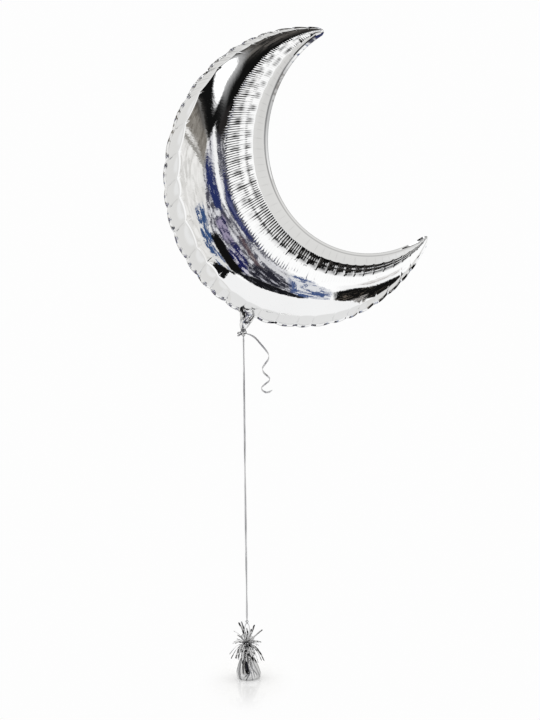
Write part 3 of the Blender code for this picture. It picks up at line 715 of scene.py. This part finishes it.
def turnedSides(route, twist, start=Vector((0, 1, 0))):
    # side directions that stay square to the route, turned by twist(share) radians
    sides, side = [], start
    for i in range(len(route)):
        ahead = aheadAt(route, i)
        side = (side - ahead * side.dot(ahead)).normalized()
        turn = twist(i / (len(route) - 1))
        sides.append(side * cos(turn) + ahead.cross(side) * sin(turn))
    return sides


def crumple(place, size, height, seed):
    # folded foil: sharp ridges where slow noise changes sign
    at = place / size + Vector((seed * 7.1, seed * 3.7, seed * 1.3))
    ridge = 1 - abs(noise.noise(at)) * 2.6
    sharp = Vector((ridge, noise.noise(at * 1.9 + Vector((5, 5, 5))), 0))
    return noise.noise_vector(at * 0.7) * height * 0.6 + sharp * height * 0.4


def foldsAt(folds, turn, level):
    # depth in mm and painted shade of a list of folds; the front is at turn 0.75
    depth, shade = 0, 0
    for start, lean, half, deep, dark, low, high in folds:
        away = abs((turn * 360 - 270 - start - lean * level + 180) % 360 - 180) / half
        if away < 1:
            inside = min(1, max(0, (level - low) * 9 + (low == 0)), max(0, (high - level) * 9 + (high == 1)))
            depth += deep * (1 - away) * inside
            shade = max(shade, dark * min(1, (1 - away) * 2) * inside)
    return depth, shade


# Filling neck: gathered foil between the envelope's edge and the tie

neckLook = {
    "top": -279 * mm, "foot": -336 * mm,
    # share of the way down, left and right side, half depth, in mm
    "rings": ((0, -14, 36, 13), (0.12, -12.5, 33, 13.5), (0.2, -8, 31, 13.5), (0.42, -8, 27, 12.5),
              (0.59, -8.5, 23, 10.5), (0.72, -9, 15, 8.5), (0.8, -9, 12.5, 7.5), (0.86, -8, 10, 6.5),
              (0.9, -5.7, 5.8, 5.6), (1, -5.2, 5.2, 5.2)),
    # folds: degrees round from the front, lean over the height, half width, depth in mm, painted shade,
    # from, to
    "folds": ((-84, 0, 8, 1.5, 0.7, 0, 0.9), (-58, 4, 4, 1, 0.4, 0.1, 1), (-38, 30, 11, 4, 1, 0, 0.52),
              (13, 0, 24, 3, 1, 0.5, 0.7), (105, -140, 8, 3.5, 0.95, 0.03, 0.6),
              (64, -93, 5, 2.5, 0.85, 0.1, 0.55), (8, 0, 4, 1.6, 0.4, 0.02, 0.3),
              (60, 0, 12, 2, 0.85, 0.58, 0.74), (52, 0, 10, 1, 0.9, 0.78, 0.86),
              (-24, 0, 6, 1.2, 0.6, 0.62, 1), (2, 0, 5, 1.2, 0.5, 0.72, 1), (28, 0, 6, 1.2, 0.6, 0.8, 1),
              (84, 0, 9, 2, 0.7, 0, 1), (112, 20, 10, 3, 0.8, 0, 1), (138, -16, 8, 2.5, 0.6, 0, 1),
              (162, 12, 10, 3.5, 0.9, 0, 0.8), (190, -10, 9, 2.5, 0.7, 0, 1), (216, 14, 10, 3, 0.8, 0, 1),
              (244, -8, 8, 2, 0.6, 0, 1)),
    "crumple": 3.0 * mm, "crumpleSize": 13 * mm,
}


def between(rings, share, column):
    for low, high in zip(rings, rings[1:]):
        if share <= high[0]:
            part = (share - low[0]) / (high[0] - low[0])
            return low[column] + (high[column] - low[column]) * part
    return rings[-1][column]


def fillNeck(look):
    def placeOf(turn, level):
        angle = 2 * pi * turn
        left, right, depth = (between(look["rings"], level, column) for column in (1, 2, 3))
        deep = foldsAt(look["folds"], turn, level)[0] * min(1, (right - left) / 40) * min(1, (1 - level) * 8)
        place = Vector(((left + right) / 2 * mm, 0, look["top"] + (look["foot"] - look["top"]) * level))
        place += Vector((((right - left) / 2 - deep) * cos(angle), (depth - deep) * sin(angle), 0)) * mm
        shift = crumple(place, look["crumpleSize"], look["crumple"], 3)
        return place + shift * min(1, max(0, (0.88 - level) * 5)) * min(1, 0.3 + level * 3)

    def shadeOf(turn, level):
        # painted shade: the folds' shade and dark patches, stronger towards the top
        patch = noise.noise(Vector((cos(2 * pi * turn) * 5, sin(2 * pi * turn) * 5, level * 6)))
        shadePatch = max(0, patch - 0.15) * 3
        return min(1, foldsAt(look["folds"], turn, level)[1] + shadePatch * (1 - level))
    bm = rolledTube(120, 40, placeOf, shadeOf)
    finishPiece("fillNeck", bm, neckFoil, "balloon", "fill_neck", sharp=26)


neckFoil = foilMaterial("neck foil", {
    "dark": (0.84, 0.845, 0.85), "light": 0.93, "fold": 0.02, "clouds": 30,
    "scuffs": (90, 0.03, 0.1), "crinkle": (300, 0.12, 0.5 * mm),
})
fillNeck(neckLook)


# Ribbon: the tie, two knots, the straight run and the curled free end

silverRibbon = ribbonMaterial("silver ribbon", {
    "metallic": 0.6, "dark": (0.36, 0.36, 0.37), "light": (0.8, 0.8, 0.81), "reach": 0.2,
    "along": 12, "across": 2, "roughness": (0.24, 0.4),
})
hangingRibbon = ribbonMaterial("hanging ribbon", {
    "metallic": 0.3, "dark": (0.26, 0.26, 0.27), "light": (0.84, 0.84, 0.85), "reach": 0.14,
    "along": 16, "across": 1.2, "roughness": (0.35, 0.55),
})
# the ribbon's copy for the knots and the tie, painted near black for the shade between its loops
knotRibbonPaintedDark = ribbonMaterial("knotted ribbon", {
    "metallic": 0.8, "dark": (0.015, 0.015, 0.016), "light": (0.42, 0.42, 0.43), "reach": 0.12,
    "along": 160, "across": 1, "roughness": (0.22, 0.38),
})

tieLook = {
    "turns": ((3, "X"), (-4, "Y"), (2.5, "X")),         # degrees of tilt and its axis
    "radius": 6.35 * mm, "pitch": 2.15 * mm, "width": 2.3 * mm, "thick": 0.55 * mm, "level": -334.5 * mm,
}


def addTurn(bm, section, radius, steps, tilt, axis, level):
    # one closed turn: the section is spun round the Z axis, tilted and lifted
    bmesh.ops.translate(section, verts=section.verts, vec=(radius, 0, 0))
    bmesh.ops.delete(section, geom=section.faces[:], context="FACES_ONLY")
    bmesh.ops.spin(section, geom=section.edges[:] + section.verts[:], cent=(0, 0, 0), axis=(0, 0, 1),
                   dvec=(0, 0, 0), angle=2 * pi, steps=steps, use_merge=True)
    bmesh.ops.rotate(section, verts=section.verts, matrix=Matrix.Rotation(radians(tilt), 3, axis))
    bmesh.ops.translate(section, verts=section.verts, vec=(0, 0, level))
    bmesh.ops.recalc_face_normals(section, faces=section.faces)
    pour(section, bm)


def neckTie(look):
    bm = bmesh.new()
    for number, (tilt, axis) in enumerate(look["turns"]):
        section = bmesh.new()
        bmesh.ops.create_grid(section, x_segments=1, y_segments=1, size=0.5)
        bmesh.ops.scale(section, verts=section.verts, vec=(look["thick"], look["width"], 1))
        bmesh.ops.rotate(section, verts=section.verts, matrix=Matrix.Rotation(pi / 2, 3, "X"))
        bmesh.ops.bevel(section, geom=section.verts[:], affect="VERTICES", offset=0.2 * mm, segments=2,
                        profile=0.5, material=-1)
        addTurn(bm, section, look["radius"], 48, tilt, axis, look["level"] + number * look["pitch"])
    finishPiece("neckTie", bm, knotRibbonPaintedDark, "balloon", "neck_tie", sharp=50)


neckTie(tieLook)

knotLook = {
    "tie": {"centre": Vector((0, 0, -340.7)) * mm, "radius": 7.4 * mm, "width": 2.4 * mm, "thick": 0.5 * mm,
            # the loops and the cut end, in mm from the centre
            "ends": (((-2, -2, 0), (-7, -4.2, 0.8), (-12.5, -3.4, 2.4), (-13.5, -3.2, -1), (-8, -3, -2.5),
                      (-3, -2, -1)),
                     ((0, -2.4, 2), (-4, -7.1, 3.6), (-8, -6.6, 3.2), (-6, -6, 0.6), (-1, -3, -0.6)),
                     ((1, -2, 2), (4.5, -5, 6), (7.5, -4, 2.5), (4, -4.5, -1), (0, -2, 0)),
                     ((-3, -0.5, -3), (-8, -1.5, -4.5), (-12.5, -2.3, -6.2), (-14.5, -2.5, -5)))},
    "hitch": {"centre": Vector((0, 0, -1061.8)) * mm, "radius": 3.4 * mm, "width": 1.7 * mm,
              "thick": 0.4 * mm, "ends": ()},
}


def tiedKnot(name, look, body, node):
    # an overhand knot: a flat band on a trefoil path, with its cut ends
    bm = bmesh.new()
    route, sides, steps, points = [], [], 90, 24
    for i in range(steps + 1):
        t = 2 * pi * (i % steps) / steps
        trefoil = Vector((sin(t) + 2 * sin(2 * t), -1.1 * sin(3 * t), cos(t) - 2 * cos(2 * t)))
        route.append(look["centre"] + look["radius"] / 3 * trefoil)
    for i in range(steps + 1):
        ahead = (route[(i + 1) % steps] - route[(i - 1) % steps]).normalized()
        out = (route[i] - look["centre"]).normalized()
        sides.append(ahead.cross(out).normalized())
    stripAlong(bm, route, sides, [look["width"]] * len(route), look["thick"], cup=0.10)
    for end in look["ends"]:
        path, _ = smoothRoute([look["centre"] + Vector(place) * mm for place in end], points)
        turned = turnedSides(path, lambda share: 0.5 + share * 1.1)
        widths = [look["width"] * (0.8 + 0.5 * i / (points - 1)) for i in range(points)]
        stripAlong(bm, path, turned, widths, look["thick"], cup=0.12)
    finishPiece(name, bm, knotRibbonPaintedDark, body, node, sharp=50)


tiedKnot("ribbonKnot", knotLook["tie"], "knot", "ribbon_knot")
tiedKnot("hitchKnot", knotLook["hitch"], "hitch", "hitch_knot")

runLook = {"top": -343.5 * mm, "foot": -1060 * mm, "width": 4.8 * mm, "thick": 0.35 * mm, "points": 240,
           "pinch": 14 * mm, "turns": 1.25, "waves": 3.7}


def ribbonRun(look):
    count, drop = look["points"], look["foot"] - look["top"]
    route = [Vector((0, 0, look["top"] + drop * i / (count - 1))) for i in range(count)]
    widths = []
    for place in route:
        fromEnd = min(look["top"] - place.z, place.z - look["foot"]) / look["pinch"]
        widths.append(look["width"] * (0.38 + 0.62 * min(1, fromEnd)))
    sides = turnedSides(route, lambda share: 0.5 * sin(2 * pi * look["turns"] * share + 0.6)
                        + 0.35 * sin(2 * pi * look["waves"] * share), Vector((1, 0, 0)))
    bm = bmesh.new()
    stripAlong(bm, route, sides, widths, look["thick"], cup=0.1)
    finishPiece("ribbonRun", bm, hangingRibbon, "ribbon", "ribbon_run", sharp=50)


ribbonRun(runLook)

tailLook = {
    "route": (                  # mm, the same route as the solid's
        (5, 0, -341.2), (10, -0.8, -342.4), (18.2, -3, -345.4), (28.9, -6, -352.2), (40.5, -9.5, -365.2),
        (52, -9.5, -379.2), (61, -3.5, -391), (63.3, 3.5, -399.5), (60.5, 9.5, -408.5), (52, 11.5, -419.5),
        (46, 4, -430), (50.5, -6.5, -440.5), (60, -10, -449), (65.2, -3.5, -455.8), (61.5, 6, -462),
        (51.5, 9.5, -469.5), (43.2, 1.5, -477.5), (46, -7, -484), (54.5, -9.5, -488.8), (63.5, -6.5, -487.6),
        (71, -2, -483.4)),
    "points": 160, "width": 4.6 * mm, "thick": 0.35 * mm, "axis": Vector((54, 1, 0)) * mm,
}


def ribbonTail(look):
    points = [Vector(place) * mm for place in look["route"]]
    route, length = smoothRoute(points, look["points"])
    sides, widths = [], []
    for i, place in enumerate(route):
        share = i / (len(route) - 1)
        ahead = aheadAt(route, i)
        out = place - look["axis"]
        out.z = 0
        level = ahead.cross(out.normalized()).normalized()          # edge along the curl's own axis
        plain = ahead.cross(Vector((0, 1, 0))).normalized()
        side = level if level.z > 0 else -level
        plain = plain if plain.z > 0 else -plain
        blend = min(1, max(0, (share - 0.18) / 0.12))
        sides.append((plain * (1 - blend) + side * blend).normalized())
        widths.append(look["width"] * min(1, 0.35 + share * 8) * min(1, 0.3 + (1 - share) * 25))
    bm = bmesh.new()
    stripAlong(bm, route, sides, widths, look["thick"], cup=0.06)
    piece = finishPiece("ribbonTail", bm, silverRibbon, "knot", "ribbon_tail", sharp=50)
    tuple(points[0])
    [tuple(place) for place in route]


ribbonTail(tailLook)
print("neck and ribbon made")


# Weight: foil wrap over a heavy block, gathered under a tassel, with its loop

# the wrap's foil: its clouds are made darker than the balloon's film, as painted shade
weightFoil = foilMaterial("weight foil", {
    "dark": (0.5, 0.505, 0.51), "light": 0.92, "fold": (0.015, 0.015, 0.02), "clouds": 90,
    "scuffs": (120, 0.05, 0.14), "crinkle": (260, 0.12, 0.6 * mm),
})

wrapLook = {
    "floor": -1201.3 * mm,
    # height and radius, in mm
    "bell": ((0, 26), (1, 27.4), (2.6, 28.6), (5.5, 29.8), (11, 30.8), (17, 30.2), (24, 28.3), (32, 25.4),
             (40, 22.4), (47, 19.2), (52, 16), (56.5, 12.4), (60, 9.8), (62.5, 8.4), (67, 8.2)),
    "lean": 3,                  # mm that the foot stands off to the right of the tassel
    # folds as on the neck, with their painted shade, from the foot up
    "folds": ((9, -25, 14, 3.2, 1, 0.24, 0.86), (-33, 119, 5, 1.2, 0.9, 0.08, 0.3),
              (-14, 75, 4, 1, 0.8, 0, 0.33), (-17, -20, 5, 1.6, 0.85, 0.2, 0.95),
              (-9, -20, 6, 0.5, 0.35, 0.15, 0.9), (-45, -20, 12, 1.6, 0.6, 0, 0.95),
              (-38, -20, 4, 1.2, 0.9, 0.1, 0.9), (-72, -4, 6, 1.6, 0.85, 0.2, 0.8),
              (24, 0, 13, 0.6, 0.42, 0.4, 0.78), (20, -8, 3, 1, 0.5, 0, 0.5),
              (34, -18, 3.5, 1.2, 0.55, 0.05, 1), (60, -73, 4.5, 1.3, 0.65, 0.1, 0.5),
              (68, -35, 8, 1.6, 0.5, 0, 1), (50, -20, 8, 0.5, 0.22, 0, 0.8), (80, -4, 6, 1.6, 0.5, 0, 1),
              (104, 6, 6, 2, 0.6, 0, 1), (128, -9, 4, 1.4, 0.3, 0, 0.9),
              (150, 8, 7, 2.6, 0.9, 0.1, 0.9), (176, -5, 4, 1.5, 0.4, 0, 1), (200, 9, 6, 2.2, 0.7, 0, 0.85),
              (224, -6, 4, 1.2, 0.3, 0, 1), (246, 5, 5, 1.8, 0.6, 0, 0.9), (268, -4, 4, 1.4, 0.35, 0, 1)),
    "gathers": 22, "crumple": 1.1 * mm, "crumpleSize": 22 * mm,
}


def foilWrap(look):
    top = look["bell"][-1][0]
    bell = [(height / top, radius) for height, radius in look["bell"]]

    def foldAt(turn, level):
        depth, shade = foldsAt(look["folds"], turn, level)
        gather = abs(sin(look["gathers"] / 2 * 2 * pi * turn)) * smoothStep(0.7, 0.95, level)
        depth = depth * (1 - 0.7 * smoothStep(0.8, 0.95, level)) + 0.9 * gather
        # painted shade in the gathers near the top
        return depth, min(1, shade + 0.7 * gather ** 3)

    def placeOf(turn, level):
        radius = between(bell, level, 1) - foldAt(turn, level)[0]
        angle, lean = 2 * pi * turn, look["lean"] * (1 - level) ** 2
        place = Vector((radius * cos(angle) + lean, radius * sin(angle), top * level)) * mm
        place.z += look["floor"]
        shift = crumple(place, look["crumpleSize"], look["crumple"], 9)
        shift.z *= 0.3
        place += shift * min(1, level * 8) * min(1, (1 - level) * 5)
        place.z = max(place.z, look["floor"])
        return place
    bm = rolledTube(180, 46, placeOf, lambda turn, level: foldAt(turn, level)[1])
    finishPiece("foilWrap", bm, weightFoil, "weight", "foil_wrap", sharp=24)


foilWrap(wrapLook)

bandFoil = foilMaterial("gather band", {
    "dark": 0.05, "light": 0.5, "fold": 0.02, "clouds": 260,
    "scuffs": (200, 0.1, 0.25), "crinkle": (400, 0.1, 0.3 * mm),
})
bandLook = {"level": -1136.3 * mm, "radius": 9.1 * mm, "wire": 0.62 * mm, "turns": 3, "pitch": 1.15 * mm}


def gatherBand(look):
    bm = bmesh.new()
    for number in range(look["turns"]):
        ring = bmesh.new()
        bmesh.ops.create_circle(ring, segments=10, radius=look["wire"])
        bmesh.ops.rotate(ring, verts=ring.verts, matrix=Matrix.Rotation(pi / 2, 3, "X"))
        level = look["level"] + (number - 1) * look["pitch"]
        addTurn(bm, ring, look["radius"], 56, 2 - 2 * number, "X", level)
    finishPiece("gatherBand", bm, bandFoil, "weight", "gather_band")


gatherBand(bandLook)

hubLook = {"foot": -1134 * mm, "top": -1128.6 * mm, "radius": 7.2 * mm, "folds": 14}


def tasselHub(look):
    def placeOf(turn, level):
        angle = 2 * pi * turn
        pull = 1 - 0.16 * abs(sin(look["folds"] / 2 * angle + 2 * level)) - 0.1 * sin(pi * level)
        radius = look["radius"] * pull
        height = look["foot"] + (look["top"] - look["foot"]) * level
        return Vector((radius * cos(angle), radius * sin(angle), height))
    bm = rolledTube(112, 10, placeOf)
    finishPiece("tasselHub", bm, weightFoil, "weight", "tassel_hub", sharp=35)


tasselHub(hubLook)

loopLook = {"hubTop": -1129 * mm, "gap": 0.3 * mm, "hitch": -1061.8 * mm, "hitchRadius": 3.2 * mm,
            "width": 5.2 * mm, "root": 1.15 * mm, "radius": 0.9 * mm, "strands": 3, "lay": 9 * mm}


def weightLoop(look):
    # a twisted cord, bent into a teardrop
    apex = look["hitch"] - look["hitchRadius"] - look["gap"] - look["radius"]
    foot = look["hubTop"] + look["gap"]
    steps, widest = 180, 0.572                          # sin(u) sin(u/2)^3 is at most 0.572
    route = []
    for i in range(steps + 1):
        turn = 2 * pi * i / steps
        width = look["root"] * cos(turn / 2) + look["width"] / widest * sin(turn) * sin(turn / 2) ** 3
        route.append(Vector((width, 0, foot + (apex - foot) * (1 - cos(turn)) / 2)))
    lengths = lengthsAlong(route)

    def placeOf(turn, level):
        i = round(level * steps)
        side = Vector((0, 1, 0))
        out = aheadAt(route, i).cross(side)
        angle = 2 * pi * turn
        groove = abs(sin(look["strands"] / 2 * (angle - 2 * pi * lengths[i] / look["lay"])))
        radius = look["radius"] * (0.72 + 0.28 * groove)
        return route[i] + (side * cos(angle) + out * sin(angle)) * radius
    bm = rolledTube(18, steps, placeOf)
    finishPiece("weightLoop", bm, loopFoil, "weight", "weight_loop")


loopFoil = foilMaterial("loop foil", {
    "dark": (0.3, 0.3, 0.305), "light": (0.72, 0.72, 0.73), "fold": (0.01, 0.01, 0.012), "clouds": 90,
    "scuffs": (200, 0.16, 0.32), "crinkle": (240, 0.1, 0.3 * mm),
})
weightLoop(loopLook)

tasselFoil = foilMaterial("tassel foil", {
    "dark": (0.62, 0.62, 0.625), "light": 0.97, "fold": (0.01, 0.01, 0.012), "clouds": 120,
    "scuffs": (200, 0.14, 0.3), "crinkle": (260, 0.12, 0.4 * mm),
})
tasselLook = {
    "hubTop": -1129 * mm, "gap": 0.3 * mm, "width": 4 * mm, "root": 1.8 * mm, "thick": 0.22 * mm,
    "foldPitch": 7 * mm, "points": 46,
    # a strip's strands: degrees aside, share of the reach, change of the rise and size of the zigzag in mm
    "strands": ((0, 0.96, 0, 0.4), (12, 0.84, 3, 0.6), (-11, 0.7, -9, 0.8), (20, 0.55, -1, 1.1),
                (-24, 0.4, 6, 1.3)),
    # root, climb and lean in mm, how much painted shade the root gets and how far along, which waves of
    # painted shade count as dark
    "high": {"root": 3.2, "climb": 30, "lean": 5, "rootShade": 0.95, "rootEnd": (0.46, 0.18),
             "dark": (0.5, 0.72)},
    "low": {"root": 6.3, "climb": 27, "lean": 9, "rootShade": 0.7, "rootEnd": (0.36, 0.1),
            "dark": (0.54, 0.76)},
    # ring, azimuth, reach of the tip, its rise over the hub, wave
    "strips": (("high", 18, 42.8, 44, 3), ("high", 54, 35, 54, 2), ("high", 90, 30, 46, 2.4),
               ("high", 126, 36, 61, 1.8), ("high", 162, 36, 44, 2.6), ("high", 198, 37, 21, 2.2),
               ("high", 234, 42, 44, 1.6), ("high", 270, 34, 28, 2.8), ("high", 306, 41, 44, 2.2),
               ("high", 342, 31, 9, 2), ("low", 0, 44, -34, 2.4), ("low", 36, 46, 8, 1.8),
               ("low", 72, 44, -10, 2.6), ("low", 108, 45, -28, 2), ("low", 144, 47, 6, 1.8),
               ("low", 180, 46.7, -14, 2.4), ("low", 216, 39.6, -17, 2.2), ("low", 252, 46, -27, 1.6),
               ("low", 288, 44, -22, 2.6), ("low", 324, 45.7, -12, 2)),
}


def tasselStrip(number, look):
    ring, azimuth, reach, rise, wave = look["strips"][number]
    ring = look[ring]
    rng = np.random.default_rng(100 + number)
    base = Vector((0, 0, look["hubTop"] + look["gap"]))
    count = look["points"]
    bm = bmesh.new()
    for aside, share, lift, fold in look["strands"]:
        if aside:
            aside, share = aside * rng.choice((-1, 1)), share * rng.uniform(0.85, 1.12)
            lift += rng.uniform(-12, 4)
        heading = Vector((cos(radians(azimuth + aside)), sin(radians(azimuth + aside)), 0))
        across = Vector((-heading.y, heading.x, 0))
        start = base + heading * ring["root"] * mm
        climb = start + heading * ring["lean"] * mm + Vector((0, 0, ring["climb"] * mm)) * share
        tip = base + heading * reach * share * mm + Vector((0, 0, (rise * share + lift) * mm))
        phase, pitch = rng.uniform(0, 2 * pi), rng.uniform(0.8, 1.3) * look["foldPitch"]
        route, widths, shades, tipShade = [], [], [], rng.choice((0, 0.2, 1))
        for i in range(count):
            t = i / (count - 1)
            place = (1 - t) ** 2 * start + 2 * t * (1 - t) * climb + t * t * tip
            route.append(place + across * wave * mm * sin(2.5 * pi * t) * t ** 2)
            width = look["root"] + (look["width"] - look["root"]) * min(1, t * 2.2)
            widths.append(width * (0.75 + 0.25 * min(1, (1 - t) * 20)))
            wavy = sin(phase + 9 * t) * 0.6 + 0.4 * sin(3 * phase + 23 * t)
            # painted shade along each strand: dark stretches, some dark tips and a darker root
            shades.append(max(smoothStep(*ring["dark"], wavy), tipShade * smoothStep(0.84, 0.9, t),
                              ring["rootShade"] * smoothStep(*ring["rootEnd"], t)))
        folded = []
        for i, (place, travelled) in enumerate(zip(route, lengthsAlong(route))):
            zigzag = abs((travelled / pitch + phase) % 1 * 2 - 1) - 0.5
            zigzag *= fold * mm * min(1, max(0, i / count - 0.1) * 3)
            folded.append(place + aheadAt(route, i).cross(across).normalized() * zigzag)
        sides = turnedSides(folded, lambda t: 0.7 * sin(3 * t + phase) * min(1, t * 2), across)
        stripAlong(bm, folded, sides, widths, look["thick"], cup=0.16, across=3, shades=shades)
    name, node = "tassel%02d" % (number + 1), "tassel_%02d" % (number + 1)
    finishPiece(name, bm, tasselFoil, "weight", node, sharp=30)


for stripNumber in range(len(tasselLook["strips"])):
    tasselStrip(stripNumber, tasselLook)


def blockMaterial(name, look):
    # cast block inside the wrap
    material, tree, shader = newMaterial(name)
    grain = noiseOf(tree, addNode(tree, "TexCoord").outputs["Object"], look["grain"], 4.0, 0.6)
    coat(tree, shader, mixColours(tree, grain, look["dark"], look["light"]),
         remap(tree, grain, 0.3, 0.7, *look["roughness"]), grain, 0.4, 0.5 * mm)
    return material


castBlock = blockMaterial("cast block", {"dark": (0.1, 0.1, 0.11), "light": (0.24, 0.24, 0.25),
                                         "grain": 180, "roughness": (0.55, 0.85)})
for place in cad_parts["weight_core"].material_slots:
    place.material = castBlock
print("weight made")
